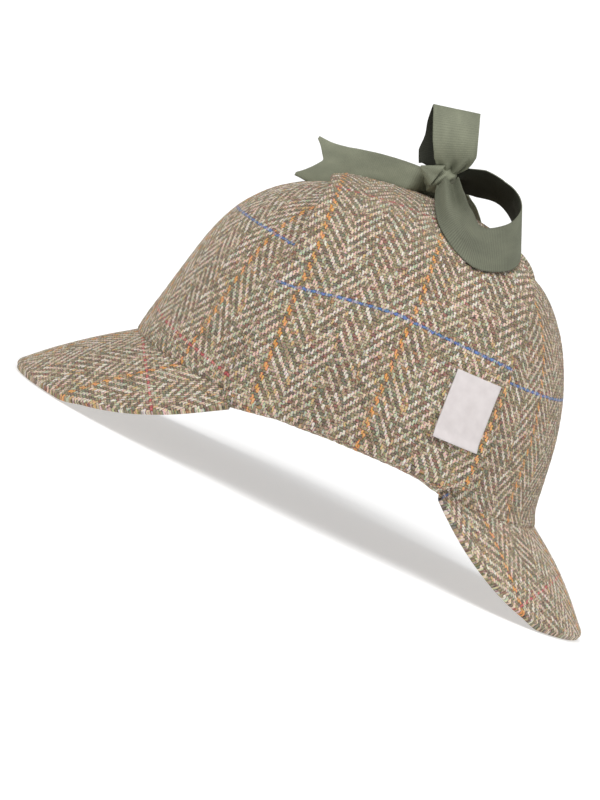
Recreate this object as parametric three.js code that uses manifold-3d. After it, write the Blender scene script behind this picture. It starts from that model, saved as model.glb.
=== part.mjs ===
// A tweed deerstalker resting on its two peaks, with its earflaps folded up and tied over the crown.
// Millimetres, +Z up. The front of the hat is towards -X, its left side towards -Y, and the floor is z = 0.
import * as THREE from "three";
import { mergeVertices } from "three/addons/utils/BufferGeometryUtils.js";
import Module from "manifold-3d";

const wasm = await Module();
wasm.setup();

// ---- driving dimensions ----
const GAP = 0.3; // between neighbouring pieces
const LOOSE = 0.9; // the flaps lie this far out from the crown, and the label from its flap
const CLOTH = { crown: 3, flap: 4, peak: 4, ribbon: 1.2, label: 1 }; // thickness of each kind of piece
const CROWN_TOP = 155; // outside of the crown at its highest, where the gores meet
const RIM = { front: 42, back: 39.5, frontReach: 105, backReach: 107 }; // the crown's lower edge
const GORES = 6;
const GORE_COLUMNS = 8; // facets across one gore
const LABEL = { front: 37.6, back: 59.2, low: 65.5, high: 97 }; // the part of the crown that it lies over, in X and Z
const SETTLE = 2.4; // the underside of a peak lies flat on the floor where it comes this near to it
const PEAK_RIM = 3; // how high a peak's top stands above its underside at its edge

// The crown's outer reach to the front, side and back, at each share of its height.
const CROWN_ROWS = [
  { rise: 0.0, front: 105, side: 87.5, back: 107 },
  { rise: 0.07, front: 104, side: 87.5, back: 103.5 },
  { rise: 0.18, front: 101.5, side: 87.5, back: 101.5 },
  { rise: 0.34, front: 98, side: 86.5, back: 98.5 },
  { rise: 0.5, front: 94, side: 83, back: 93.5 },
  { rise: 0.63, front: 88.5, side: 77.5, back: 87 },
  { rise: 0.74, front: 80, side: 70, back: 79.5 },
  { rise: 0.83, front: 69, side: 61, back: 70.5 },
  { rise: 0.9, front: 55.5, side: 49, back: 60 },
  { rise: 0.95, front: 37.5, side: 34.5, back: 44 },
  { rise: 0.985, front: 18, side: 18, back: 24 },
  { rise: 1.0, front: 0, side: 0, back: 0 },
];

// How far the crown's lower edge arches up over the ears, along X.
const ARCH_ROWS = [
  { x: -56, lift: 0 },
  { x: -44, lift: 0.9 },
  { x: -34, lift: 1.9 },
  { x: -24, lift: 4.2 },
  { x: -10, lift: 5.8 },
  { x: 5, lift: 7.2 },
  { x: 20, lift: 7.9 },
  { x: 36, lift: 8.5 },
  { x: 46, lift: 8 },
  { x: 54, lift: 6.2 },
  { x: 62, lift: 3 },
  { x: 72, lift: 0 },
];

// An earflap's front and rear edges, at each share of the way from the rim to the top of the crown.
const FLAP_ROWS = [
  { up: -0.05, front: -46, rear: 55.5 },
  { up: 0.0, front: -47, rear: 57.5 },
  { up: 0.05, front: -52, rear: 66.5 },
  { up: 0.25, front: -53, rear: 65.5 },
  { up: 0.5, front: -52.5, rear: 60.5 },
  { up: 0.7, front: -51.5, rear: 58 },
  { up: 0.85, front: -51, rear: 51 },
  { up: 0.94, front: -52.5, rear: 44.5 },
  { up: 1.0, front: -47, rear: 36 },
];
const FLAP_SPLIT = 1.5; // from each flap's top edge to the middle of the hat

// A peak's corner and tip along X, its half width there, its edge's height at the corner, how fast that
// falls, how far it would sag through the floor at the tip, and how full its top is between seam and edge.
const PEAKS = [
  { name: "front_peak", side: -1, corner: 49, tip: 150, half: 83, high: 34.5, fall: 2.2, sag: 2.2, full: 2.2 },
  { name: "rear_peak", side: 1, corner: 59, tip: 150, half: 75.5, high: 37.5, fall: 2, sag: 2.4, full: 2.6 },
];

// Ribbon runs: the middle of the ribbon, the way across it, and how wide it is gathered or spread.
const LOOP_UPRIGHT = [
  { at: [-5, -3.5, 172], across: [0.9, 0, 0.43], width: 9 },
  { at: [-3.4, -6.5, 176.5], across: [0.9, 0, 0.43], width: 14.5 },
  { at: [-4.4, -8.8, 181.5], across: [0.9, 0, 0.43], width: 20 },
  { at: [-7.7, -9.3, 188.5], across: [0.93, 0, 0.36], width: 21.5 },
  { at: [-11.2, -6, 196.5], across: [0.96, 0, 0.28], width: 22.3 },
  { at: [-13.2, -2, 201], across: [0.97, 0, 0.23], width: 22.7 },
  { at: [-13.7, 0.6, 202], across: [0.97, 0, 0.23], width: 22.8 },
  { at: [-13.7, 3, 200.3], across: [0.97, 0, 0.22], width: 22.8 },
  { at: [-12.9, 8, 193], across: [0.97, 0, 0.22], width: 22.3 },
  { at: [-12, 8.8, 186.5], across: [0.97, 0, 0.22], width: 21.5 },
  { at: [-10.3, 7, 179], across: [0.97, 0, 0.22], width: 19 },
  { at: [-8.3, 3.5, 173], across: [0.97, 0, 0.22], width: 13 },
];
const LOOP_DROOPING = [
  { at: [-3, 1, 171.5], across: [0, -0.8, 0.6], width: 9 },
  { at: [3, 1.5, 174.3], across: [0, -0.85, 0.53], width: 14 },
  { at: [12, 2, 177], across: [-0.05, -0.87, 0.5], width: 22 },
  { at: [22, 1.5, 176.5], across: [-0.12, -0.85, 0.52], width: 24 },
  { at: [32.5, -5, 170.5], across: [-0.35, -0.5, 0.78], width: 24 },
  { at: [39, -22, 163.6], across: [-0.42, 0.1, 0.9], width: 24 },
  { at: [35.5, -42, 156], across: [-0.38, 0.45, 0.8], width: 24 },
  { at: [23, -51.5, 151], across: [-0.2, 0.62, 0.75], width: 23.5 },
  { at: [10.5, -43.5, 157.3], across: [0.45, 0.5, 0.74], width: 21 },
  { at: [2.5, -24, 165.5], across: [0.85, 0.25, 0.45], width: 15.5 },
  { at: [-3, -8, 170.5], across: [0.9, 0, 0.43], width: 10 },
];
const TAIL_FRONT = [
  { at: [-10, 1, 166.5], across: [0, -0.5, 0.87], width: 12 },
  { at: [-18, 6, 164.5], across: [0, -0.75, 0.66], width: 17 },
  { at: [-30, 13, 161.9], across: [0, -0.78, 0.62], width: 21 },
  { at: [-42, 17.5, 158.9], across: [0.02, -0.8, 0.59], width: 23 },
  { at: [-52, 17, 155.6], across: [0.03, -0.77, 0.62], width: 24 },
  { at: [-60, 14, 151.2], across: [0.04, -0.5, 0.86], width: 24 },
  { at: [-67, 11, 148.7], across: [0.05, -0.2, 0.98], width: 24 },
];
const TAIL_BACK = [
  { at: [-3, 5, 168], across: [0.98, 0.1, 0.1], width: 8 },
  { at: [1, 14, 167], across: [0.98, -0.1, -0.05], width: 13 },
  { at: [5, 28, 164], across: [0.97, -0.2, -0.1], width: 20 },
  { at: [10, 43, 157.5], across: [0.97, -0.18, -0.14], width: 23 },
  { at: [13, 58, 148.5], across: [0.97, -0.14, -0.2], width: 24 },
  { at: [14.5, 69, 137], across: [0.98, -0.08, -0.2], width: 24 },
];
const FISHTAIL = 9; // depth of the notch cut into a tail's end
const KNOT = { at: [-6, -2, 169.8], radii: [8.5, 8.5, 8.5], lean: 0.35 };

const COLOURS = { tweed: 0x9e917c, shade: 0x8f826e, ribbon: 0x6b6f5d, label: 0xdcd8d4 };

// ---- helpers ----
const vec = (x, y, z) => new THREE.Vector3(x, y, z);
const lerp = THREE.MathUtils.lerp;

/** The value at x on a smooth curve through rows' (at, of) columns; level past either end. */
function along(rows, at, of, x) {
  let i = 0;
  while (i < rows.length - 2 && x > rows[i + 1][at]) i += 1;
  const [a, b] = [rows[i], rows[i + 1]];
  const slope = (p, q) => (q[of] - p[of]) / (q[at] - p[at]);
  const here = slope(a, b);
  const before = i > 0 ? slope(rows[i - 1], a) : here;
  const after = i < rows.length - 2 ? slope(b, rows[i + 2]) : here;
  const bend = (p, q) => (p * q > 0 ? (2 * p * q) / (p + q) : 0);
  const start = i > 0 ? bend(before, here) : here;
  const end = i < rows.length - 2 ? bend(here, after) : here;
  const span = b[at] - a[at];
  const t = THREE.MathUtils.clamp((x - a[at]) / span, 0, 1);
  const t2 = t * t;
  const t3 = t2 * t;
  return (
    (2 * t3 - 3 * t2 + 1) * a[of] +
    (t3 - 2 * t2 + t) * span * start +
    (3 * t2 - 2 * t3) * b[of] +
    (t3 - t2) * span * end
  );
}

/** A closed body between two grids of points, given as functions of u and v from 0 to 1. */
function slab(top, bottom, columns, rows) {
  const points = [];
  for (const face of [top, bottom])
    for (let j = 0; j <= rows.length - 1; j += 1)
      for (let i = 0; i <= columns; i += 1) points.push(face(i / columns, rows[j]));
  const wide = columns + 1;
  const high = rows.length;
  const layer = wide * high;
  const index = [];
  const quad = (a, b, c, d) => index.push(a, b, c, a, c, d);
  for (let j = 0; j < high - 1; j += 1)
    for (let i = 0; i < columns; i += 1) {
      const a = j * wide + i;
      quad(a, a + 1, a + wide + 1, a + wide);
      quad(layer + a, layer + a + wide, layer + a + wide + 1, layer + a + 1);
    }
  const wall = (a, b) => quad(b, a, layer + a, layer + b);
  for (let i = 0; i < columns; i += 1) {
    wall(i, i + 1);
    wall((high - 1) * wide + i + 1, (high - 1) * wide + i);
  }
  for (let j = 0; j < high - 1; j += 1) {
    wall((j + 1) * wide, j * wide);
    wall(j * wide + columns, (j + 1) * wide + columns);
  }
  let volume = 0;
  for (let k = 0; k < index.length; k += 3)
    volume += points[index[k]].dot(points[index[k + 1]].clone().cross(points[index[k + 2]]));
  if (volume < 0) for (let k = 0; k < index.length; k += 3) [index[k], index[k + 1]] = [index[k + 1], index[k]];
  const geometry = new THREE.BufferGeometry().setFromPoints(points);
  geometry.setIndex(index);
  return geometry;
}

const evenly = (count, from = 0, to = 1) => Array.from({ length: count + 1 }, (_, i) => lerp(from, to, i / count));

/** Cuts one closed geometry by another. */
function cut(geometry, tool) {
  const [body, cutter] = [geometry, tool].map((source) => {
    const bare = source.clone();
    bare.deleteAttribute("normal");
    bare.deleteAttribute("uv");
    const merged = mergeVertices(bare, 1e-4);
    const vertProperties = new Float32Array(merged.attributes.position.array);
    return new wasm.Manifold(new wasm.Mesh({ numProp: 3, vertProperties, triVerts: new Uint32Array(merged.index.array) }));
  });
  const mesh = body.subtract(cutter).getMesh();
  const result = new THREE.BufferGeometry();
  result.setAttribute("position", new THREE.BufferAttribute(new Float32Array(mesh.vertProperties), 3));
  result.setIndex(new THREE.BufferAttribute(new Uint32Array(mesh.triVerts), 1));
  return result;
}

// ---- crown ----
const rimHeight = (x) => lerp(RIM.front, RIM.back, (x + RIM.frontReach) / (RIM.frontReach + RIM.backReach));
const crownReach = (rise, x) => along(CROWN_ROWS, "rise", x < 0 ? "front" : "back", rise);
const arch = (rise, x) => along(ARCH_ROWS, "x", "lift", x) * (1 - rise) ** 3;
const crownHeight = (rise, x) => lerp(rimHeight(x / Math.max(1 - rise, 0.2)), CROWN_TOP, rise) + arch(rise, x);

/** A point outside the crown: turn is the angle from the front, towards the left side. */
function crownPoint(turn, rise) {
  const ahead = -Math.cos(turn);
  const x = ahead * crownReach(rise, ahead);
  return vec(x, -Math.sin(turn) * along(CROWN_ROWS, "rise", "side", rise), crownHeight(rise, x));
}

function crownNormal(turn, rise) {
  const step = 1e-3;
  const r = Math.min(rise, 0.9985);
  const round = crownPoint(turn + step, r).sub(crownPoint(turn - step, r));
  const up = crownPoint(turn, r + step).sub(crownPoint(turn, Math.max(r - step, 0)));
  return round.cross(up).normalize();
}

// The rings get closer where the profile turns over, and stop just short of the middle.
const GORE_RISES = [0, 0.07, 0.18, 0.34, 0.5, 0.63, 0.74, 0.83, 0.9, 0.95, 0.985, 0.999];

function gore(number) {
  const from = (number * 2 * Math.PI) / GORES;
  const to = ((number + 1) * 2 * Math.PI) / GORES;
  const face = (depth) => (u, rise) => {
    const trim = GAP / 2 / along(CROWN_ROWS, "rise", "side", rise);
    const turn = lerp(from + trim, to - trim, u);
    const normal = crownNormal(turn, rise);
    if (rise === 0) normal.setZ(0).normalize();
    return crownPoint(turn, rise).addScaledVector(normal, -depth);
  };
  return slab(face(0), face(CLOTH.crown), GORE_COLUMNS, GORE_RISES);
}

// ---- earflaps ----
/** The crown's outside at a given x, as (y, z) from the rim to the ridge on its left side, by arc length. */
function section(x) {
  const steps = 80;
  let top = 1;
  for (let low = 0, k = 0; k < 40; k += 1) {
    const middle = (low + top) / 2;
    if (crownReach(middle, x) > Math.abs(x)) low = middle;
    else top = middle;
  }
  const points = [];
  for (let k = 0; k <= steps; k += 1) {
    const rise = top * Math.sin((k / steps) * (Math.PI / 2));
    const share = Math.min(Math.abs(x) / Math.max(crownReach(rise, x), 1e-6), 1);
    points.push(vec(x, -along(CROWN_ROWS, "rise", "side", rise) * Math.sqrt(1 - share * share), crownHeight(rise, x)));
  }
  const length = [0];
  for (let k = 1; k <= steps; k += 1) length.push(length[k - 1] + points[k].distanceTo(points[k - 1]));
  return { points, length };
}

function crownAt(x, up) {
  const { points, length } = section(x);
  const wanted = up * length[length.length - 1];
  let k = 1;
  while (k < length.length - 1 && length[k] < wanted) k += 1;
  return points[k - 1].clone().lerp(points[k], (wanted - length[k - 1]) / (length[k] - length[k - 1]));
}

function crownAtNormal(x, up) {
  const step = 0.5;
  const u = THREE.MathUtils.clamp(up, 0.004, 0.985);
  const across = crownAt(x + step, u).sub(crownAt(x - step, u));
  const rising = crownAt(x, u + 0.004).sub(crownAt(x, u - 0.004));
  return across.cross(rising).normalize();
}

/** A point this far out from the crown, on its left side; up is the share of the way from rim to ridge. */
function overCrown(x, up, out) {
  const point = crownAt(x, up).addScaledVector(crownAtNormal(x, up), out);
  point.y = Math.min(point.y, -FLAP_SPLIT);
  return point;
}

/** The share of the way from rim to ridge at which the crown's side is this high. */
function shareAt(x, height) {
  const { points, length } = section(x);
  const k = points.findIndex((point) => point.z > height);
  const between = (height - points[k - 1].z) / (points[k].z - points[k - 1].z);
  return lerp(length[k - 1], length[k], between) / length[length.length - 1];
}

const FLAP_UPS = [0, 0.05, 0.13, 0.22, 0.32, 0.42, 0.52, 0.61, 0.7, 0.78, 0.85, 0.91, 0.96, 1];
const HOOK = [1.57, 1.2, 0.6]; // angles, in radians, of the rows that carry the flap round under the rim
const HOOK_SHARE = 0.05; // how far beyond the rim those rows go on along the flap's edges

function earflap(side) {
  const rows = [...HOOK.map((angle) => -angle), ...FLAP_UPS];
  const face = (outer) => (u, row) => {
    const angle = Math.max(-row, 0);
    const edge = angle ? (-HOOK_SHARE * angle) / HOOK[0] : row;
    const x = lerp(along(FLAP_ROWS, "up", "front", edge), along(FLAP_ROWS, "up", "rear", edge), u);
    const far = outer ? CLOTH.flap + LOOSE : LOOSE;
    if (!angle) return side(overCrown(x, row, far));
    const rim = crownAt(x, 0);
    const out = crownAtNormal(x, 0).setZ(0).normalize();
    const inward = angle === HOOK[0] ? CLOTH.crown : 0;
    const point = rim.addScaledVector(out, far * Math.cos(angle) - inward);
    return side(point.setZ(point.z - far * Math.sin(angle)));
  };
  return slab(face(true), face(false), 12, rows);
}

// ---- peaks ----
function peak({ side, corner, tip, half, high, fall, sag, full }) {
  const reach = side < 0 ? RIM.frontReach : RIM.backReach;
  const limit = Math.acos(corner / reach);
  const seam = (turn) => {
    const a = limit * (turn / (Math.PI / 2));
    const inset = GAP + CLOTH.crown / 2;
    const rim = crownPoint(side < 0 ? a : Math.PI - a, 0);
    const flat = vec(rim.x, rim.y, 0).normalize();
    return rim.addScaledVector(flat, -inset).setZ(rim.z - GAP);
  };
  const edge = (turn) => {
    const forward = Math.cos(turn);
    const z = Math.max(high * (1 - forward) ** fall - sag * forward, 0) + PEAK_RIM;
    return vec(side * (corner + (tip - corner) * forward), -half * Math.sin(turn), z);
  };
  const top = (turn, r) => {
    const [a, b] = [seam(turn), edge(turn)];
    const point = a.clone().lerp(b, r);
    point.z += full * Math.sin(Math.PI * r) * Math.cos(turn);
    return point;
  };
  const normal = (turn, r) => {
    const step = 0.01;
    const t = THREE.MathUtils.clamp(turn, -1.45, 1.45);
    const round = top(t + step, r).sub(top(t - step, r));
    const out = top(t, r + step).sub(top(t, r - step));
    const n = round.cross(out).normalize();
    return n.z < 0 ? n.negate() : n;
  };
  const turnAt = (u) => lerp(-Math.PI / 2, Math.PI / 2, u);
  const under = (u, r) => {
    const turn = turnAt(u);
    const straight = r === 0 || r === 1;
    const down = straight ? vec(0, 0, r ? PEAK_RIM : CLOTH.peak) : normal(turn, r).multiplyScalar(CLOTH.peak);
    const point = top(turn, r).sub(down);
    return point.setZ(point.z < SETTLE ? 0 : point.z);
  };
  return slab((u, r) => top(turnAt(u), r), under, 28, [0, 0.2, 0.4, 0.6, 0.8, 0.965, 1]);
}

// ---- ribbon and label ----
const spline = (rows, of) => new THREE.CatmullRomCurve3(rows.map((row) => vec(...row[of])), false, "centripetal");

function ribbon(rows, steps, notch = 0) {
  const middle = spline(rows, "at");
  const across = spline(rows, "across");
  const length = middle.getLength();
  const ends = (u) => 1 - (notch / length) * (1 - Math.abs(2 * u - 1));
  const face = (side) => (u, v) => {
    const t = v * lerp(1, ends(u), THREE.MathUtils.smoothstep(v, 0.6, 1));
    const way = across.getPoint(t).normalize();
    const thick = middle.getTangent(t).cross(way).normalize();
    const index = t * (rows.length - 1);
    const low = Math.min(Math.floor(index), rows.length - 2);
    const width = lerp(rows[low].width, rows[low + 1].width, index - low);
    const point = middle.getPoint(t).addScaledVector(way, (u - 0.5) * width);
    return point.addScaledVector(thick, (side * CLOTH.ribbon) / 2);
  };
  return slab(face(1), face(-1), notch ? 4 : 2, evenly(steps));
}

function knot(grown) {
  const shape = new THREE.SphereGeometry(1, 16, 10);
  shape.scale(...KNOT.radii.map((r) => r + grown));
  shape.rotateY(KNOT.lean);
  shape.translate(...KNOT.at);
  return shape;
}

const tied = (rows, steps, notch) => cut(ribbon(rows, steps, notch), knot(GAP));

function label() {
  const near = CLOTH.flap + 2 * LOOSE;
  const face = (out) => (u, height) => {
    const x = lerp(LABEL.front, LABEL.back, u);
    return overCrown(x, shareAt(x, height), out);
  };
  return slab(face(near + CLOTH.label), face(near), 4, evenly(5, LABEL.low, LABEL.high));
}

// ---- assembly ----
const group = new THREE.Group();

function add(name, geometry, color, roughness = 0.95) {
  const bare = geometry.clone();
  bare.deleteAttribute("uv");
  bare.deleteAttribute("normal");
  const shape = mergeVertices(bare, 1e-4);
  shape.computeVertexNormals();
  const mesh = new THREE.Mesh(shape, new THREE.MeshStandardMaterial({ color, roughness, metalness: 0 }));
  mesh.name = name;
  group.add(mesh);
}

for (let i = 0; i < GORES; i += 1) add(`crown_gore_${i + 1}`, gore(i), i % 2 ? COLOURS.shade : COLOURS.tweed);
add("earflap_left", earflap((p) => p), COLOURS.tweed);
add("earflap_right", earflap((p) => p.setY(-p.y)), COLOURS.tweed);
for (const row of PEAKS) add(row.name, peak(row), COLOURS.tweed);
add("ribbon_knot", knot(0), COLOURS.ribbon, 0.8);
add("ribbon_loop_upright", tied(LOOP_UPRIGHT, 28), COLOURS.ribbon, 0.8);
add("ribbon_loop_drooping", tied(LOOP_DROOPING, 40), COLOURS.ribbon, 0.8);
add("ribbon_tail_front", tied(TAIL_FRONT, 16, FISHTAIL), COLOURS.ribbon, 0.8);
add("ribbon_tail_back", tied(TAIL_BACK, 16, FISHTAIL), COLOURS.ribbon, 0.8);
add("woven_label", label(), COLOURS.label, 0.7);

export default group;
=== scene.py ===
"""The looks of a tweed deerstalker that rests on its peaks, with its earflaps tied up in a ribbon bow.

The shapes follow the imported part's tables and formulas on a finer grid, in millimetres, with the front of
the hat towards -X and its left side towards -Y. Meshes are turned into metres as they are made. Every woven
piece has a UV map named cloth that says, in millimetres, where each point lies on the flat cloth: u counts
across the warp and v along it, so that one woven material fits them all.
"""

import math

import bpy
import numpy as np
from mathutils import Matrix, Vector, noise


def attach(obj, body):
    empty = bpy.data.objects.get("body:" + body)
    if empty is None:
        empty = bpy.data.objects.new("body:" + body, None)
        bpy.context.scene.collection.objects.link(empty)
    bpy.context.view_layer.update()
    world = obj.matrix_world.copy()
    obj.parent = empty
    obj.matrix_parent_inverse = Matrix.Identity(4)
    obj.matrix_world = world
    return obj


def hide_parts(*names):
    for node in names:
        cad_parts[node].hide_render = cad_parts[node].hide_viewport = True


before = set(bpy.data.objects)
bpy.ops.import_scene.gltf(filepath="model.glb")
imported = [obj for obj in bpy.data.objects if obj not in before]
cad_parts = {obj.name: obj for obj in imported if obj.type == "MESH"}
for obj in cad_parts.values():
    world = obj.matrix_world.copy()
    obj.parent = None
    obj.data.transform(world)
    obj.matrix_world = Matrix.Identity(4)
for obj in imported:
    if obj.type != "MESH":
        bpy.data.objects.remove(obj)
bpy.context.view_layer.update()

MM = 0.001


def table(columns, *rows):
    """Named columns of numbers."""
    return dict(zip(columns.split(), np.array(rows, float).T))


# ---- driving dimensions, in millimetres ----
CROWN_THICK = 3.0
CROWN_TOP = 155.0
RIM_FRONT, RIM_BACK = 42.0, 39.5  # the rim's height
RIM_FRONT_REACH, RIM_BACK_REACH = 105.0, 107.0  # how far the rim lies from the middle
GORES = 6
GORE_WIDE = 105.0  # a gore's width, about, at the rim
FLAP_THICK = 4.0
FLAP_WIDE = 118.0
FLAP_LONG = 165.0  # from the hem to the bow
FLAP_SPLIT = 0.9  # from a flap to the hat's middle plane
LOOSE = 0.9  # air between the crown and a flap
PEAK_THICK = 4.0
SETTLE = 3.9  # height below which a peak's underside eases down to the floor
GRID = 1.1  # from one row of a tweed mesh to the next

# How far the crown reaches at each share of its height.
CROWN = table(
    "rise front side back",
    (0.0, 105, 87.5, 107),
    (0.07, 104, 87.5, 103.5),
    (0.18, 101.5, 87.5, 101.5),
    (0.34, 98, 86.5, 98.5),
    (0.5, 94, 83, 93.5),
    (0.63, 88.5, 77.5, 87),
    (0.74, 80, 70, 79.5),
    (0.83, 69, 61, 70.5),
    (0.9, 55.5, 49, 60),
    (0.95, 37.5, 34.5, 44),
    (0.985, 18, 18, 24),
    (1.0, 0, 0, 0),
)
# How far the crown's lower edge arches up.
ARCH = table(
    "x lift",
    (-56, -0.6),
    (-50, -1.6),
    (-44, -0.4),
    (-34, 1.9),
    (-24, 4.2),
    (-10, 5.8),
    (5, 7.2),
    (20, 7.9),
    (36, 8.5),
    (46, 8),
    (54, 6.2),
    (62, 3),
    (72, 0),
)
# The X of the flap's edges at each share of the way from the hem to the bow. Below 0 is what is turned under.
FLAP = table(
    "up front rear",
    (-0.05, -52, 55.5),
    (0.0, -52.4, 57.5),
    (0.05, -52.8, 66.5),
    (0.25, -53, 65.5),
    (0.5, -52.5, 60.5),
    (0.7, -51.5, 58),
    (0.85, -51, 50),
    (0.94, -52.5, 42.5),
    (1.0, -47, 34),
)
# A peak's corners and tip are X, half is half its width, and its edge is high at the corners. It comes down
# as a power called fall, sags at the tip, and its face is this full.
FRONT_PEAK = dict(side=-1, corner=49, tip=150, half=83, high=34.5, fall=2.2, sag=2.2, full=2.2)
REAR_PEAK = dict(side=1, corner=59, tip=150, half=75.5, high=37.5, fall=2, sag=2.4, full=2.6)

# ---- the cloth ----
END = 1.07  # from one warp thread to the next
PICK = 1.38  # from one weft thread to the next
TWILL = 4.0  # threads in one repeat of the twill, half over and half under
COLUMN = 12  # warp threads in each upright stripe of the herringbone
WARP_LINE = 48  # warp threads from one orange line to the next
WEFT_LINE = 46  # weft threads from a blue line to a red one
RIB = 0.12  # how far the twill's ribs stand up
HEM_CLOTH = -61.6  # the place on a flap's cloth, under its hem, that comes just before a red line
HEM_SKIP = 3.8  # cloth left out after it, so that no red line runs along the hem

# Colours of yarn, and the random share from which each is used.
WARP_YARN = (
    (0.0, 209, 190, 171),
    (0.2, 188, 172, 150),
    (0.36, 178, 182, 162),
    (0.48, 218, 210, 198),
    (0.62, 154, 134, 106),
    (0.74, 218, 187, 168),
    (0.84, 124, 112, 90),
    (0.95, 196, 160, 112),
)
WEFT_YARN = (
    (0.0, 104, 86, 64),
    (0.2, 122, 114, 84),
    (0.38, 94, 102, 86),
    (0.52, 80, 72, 62),
    (0.66, 148, 130, 106),
    (0.8, 122, 72, 64),
    (0.87, 190, 172, 146),
    (0.96, 156, 118, 74),
)


# ---- curves and surfaces ----
def along(rows, at, of, x):
    """The values at x on a smooth curve through two of a table's columns, level past either end."""
    xs, ys = rows[at], rows[of]
    steps = np.diff(ys) / np.diff(xs)
    product = steps[:-1] * steps[1:]
    total = np.where(product > 0, steps[:-1] + steps[1:], 1.0)
    slopes = np.concatenate((steps[:1], np.where(product > 0, 2 * product / total, 0.0), steps[-1:]))
    i = np.clip(np.searchsorted(xs, x) - 1, 0, len(xs) - 2)
    span = xs[i + 1] - xs[i]
    t = np.clip((x - xs[i]) / span, 0, 1)
    t2, t3 = t * t, t * t * t
    return (
        (2 * t3 - 3 * t2 + 1) * ys[i]
        + (t3 - 2 * t2 + t) * span * slopes[i]
        + (3 * t2 - 2 * t3) * ys[i + 1]
        + (t3 - t2) * span * slopes[i + 1]
    )


def smooth(low, high, x):
    t = np.clip((x - low) / (high - low), 0, 1)
    return t * t * (3 - 2 * t)


def fall_off(distance, radius):
    """1 at an edge and 0 past the radius, along a quarter circle."""
    t = 1 - np.clip(distance / radius, 0, 1)
    return 1 - np.sqrt(1 - t * t)


def positions(length, step, fine=(0.0, 0.25, 0.6, 1.1, 1.7, 2.4)):
    """Places along a length, about a step apart and closer together near both ends."""
    inner = np.linspace(fine[-1] + step, length - fine[-1] - step, max(int(length / step) - 4, 4))
    return np.concatenate((fine, inner, length - np.array(fine)[::-1]))


def stack(x, y, z):
    return np.stack(np.broadcast_arrays(x, y, z), axis=-1).astype(float)


def unit(vectors):
    return vectors / np.maximum(np.linalg.norm(vectors, axis=-1, keepdims=True), 1e-9)


def normals(grid):
    """A grid's unit normals, from its columns crossed with its rows."""
    return unit(np.cross(np.gradient(grid, axis=1), np.gradient(grid, axis=0)))


def arc(points, axis=0):
    """The distance along a grid of points from its first row or column."""
    steps = np.linalg.norm(np.diff(points, axis=axis), axis=-1)
    start = np.zeros_like(np.take(steps, [0], axis=axis))
    return np.concatenate((start, np.cumsum(steps, axis=axis)), axis=axis)


def waves(points, scale, seed):
    """Soft noise from -1 to 1 at each point, with bumps about this far apart."""
    flat = points.reshape(-1, 3) / scale + seed * 17.3
    values = np.array([noise.noise(Vector(p)) for p in flat.tolist()])
    return values.reshape(points.shape[:-1])


def ribs(u, v):
    """The height of the herringbone's twill ribs at a place on the cloth, from -1 to 1."""
    turn = np.where(np.floor(u / (COLUMN * END)) % 2 < 1, 1.0, -1.0)
    return np.cos(2 * np.pi * (turn * u / (TWILL * END) + v / (TWILL * PICK) - 0.25))


# ---- meshes ----
def solid(name, top, bottom, cloth, material, hidden, back=None):
    """A closed piece between two grids of points of one size, with each point's place on the cloth.

    The top grid's side has the material, and the bottom grid's has the one called back, where there is one.
    """
    rows, columns = top.shape[:2]
    layer = rows * columns
    ids = np.arange(layer).reshape(rows, columns)
    corners = (ids[:-1, :-1], ids[:-1, 1:], ids[1:, 1:], ids[1:, :-1])
    upper = np.stack(corners, axis=-1).reshape(-1, 4)
    lower = upper[:, ::-1] + layer
    rim = np.concatenate((ids[0, :-1], ids[:-1, -1], ids[-1, :0:-1], ids[:0:-1, 0]))
    after = np.roll(rim, -1)
    wall = np.stack((after, rim, rim + layer, after + layer), axis=-1)
    points = np.concatenate((top.reshape(-1, 3), bottom.reshape(-1, 3))) * MM
    faces = np.concatenate((upper, lower, wall))
    centre = points[faces[: len(upper)]]
    outward = np.cross(centre[:, 2] - centre[:, 0], centre[:, 3] - centre[:, 1])
    apart = (top - bottom).reshape(-1, 3)[upper[:, 0]]
    if (outward * apart).sum() < 0:
        faces = faces[:, ::-1]
    mesh = bpy.data.meshes.new(name)
    mesh.from_pydata(points.tolist(), [], faces.tolist())
    mesh.shade_smooth()
    flat = np.tile(cloth.reshape(-1, 2), (2, 1))
    vertex = np.zeros(len(mesh.loops), int)
    mesh.loops.foreach_get("vertex_index", vertex)
    mesh.uv_layers.new(name="cloth").data.foreach_set("uv", flat[vertex].astype(np.float32).ravel())
    mesh.materials.append(material)
    if back:
        mesh.materials.append(back)
        sides = np.zeros(len(faces), np.int32)
        sides[len(upper) : 2 * len(upper)] = 1
        mesh.polygons.foreach_set("material_index", sides)
    return piece(name, mesh, hidden)


def piece(name, mesh, hidden):
    """Puts a mesh in the scene as a piece of the hat that stands for these CAD nodes."""
    made = bpy.data.objects.new(name, mesh)
    bpy.context.scene.collection.objects.link(made)
    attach(made, "root")
    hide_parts(*hidden)
    return made


# ---- materials ----
def srgb(red, green, blue):
    """A colour given as a screen shows it, from 0 to 255, in the linear values that shaders use."""
    parts = [c / 255 for c in (red, green, blue)]
    return [c / 12.92 if c <= 0.04045 else ((c + 0.055) / 1.055) ** 2.4 for c in parts] + [1.0]


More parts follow.
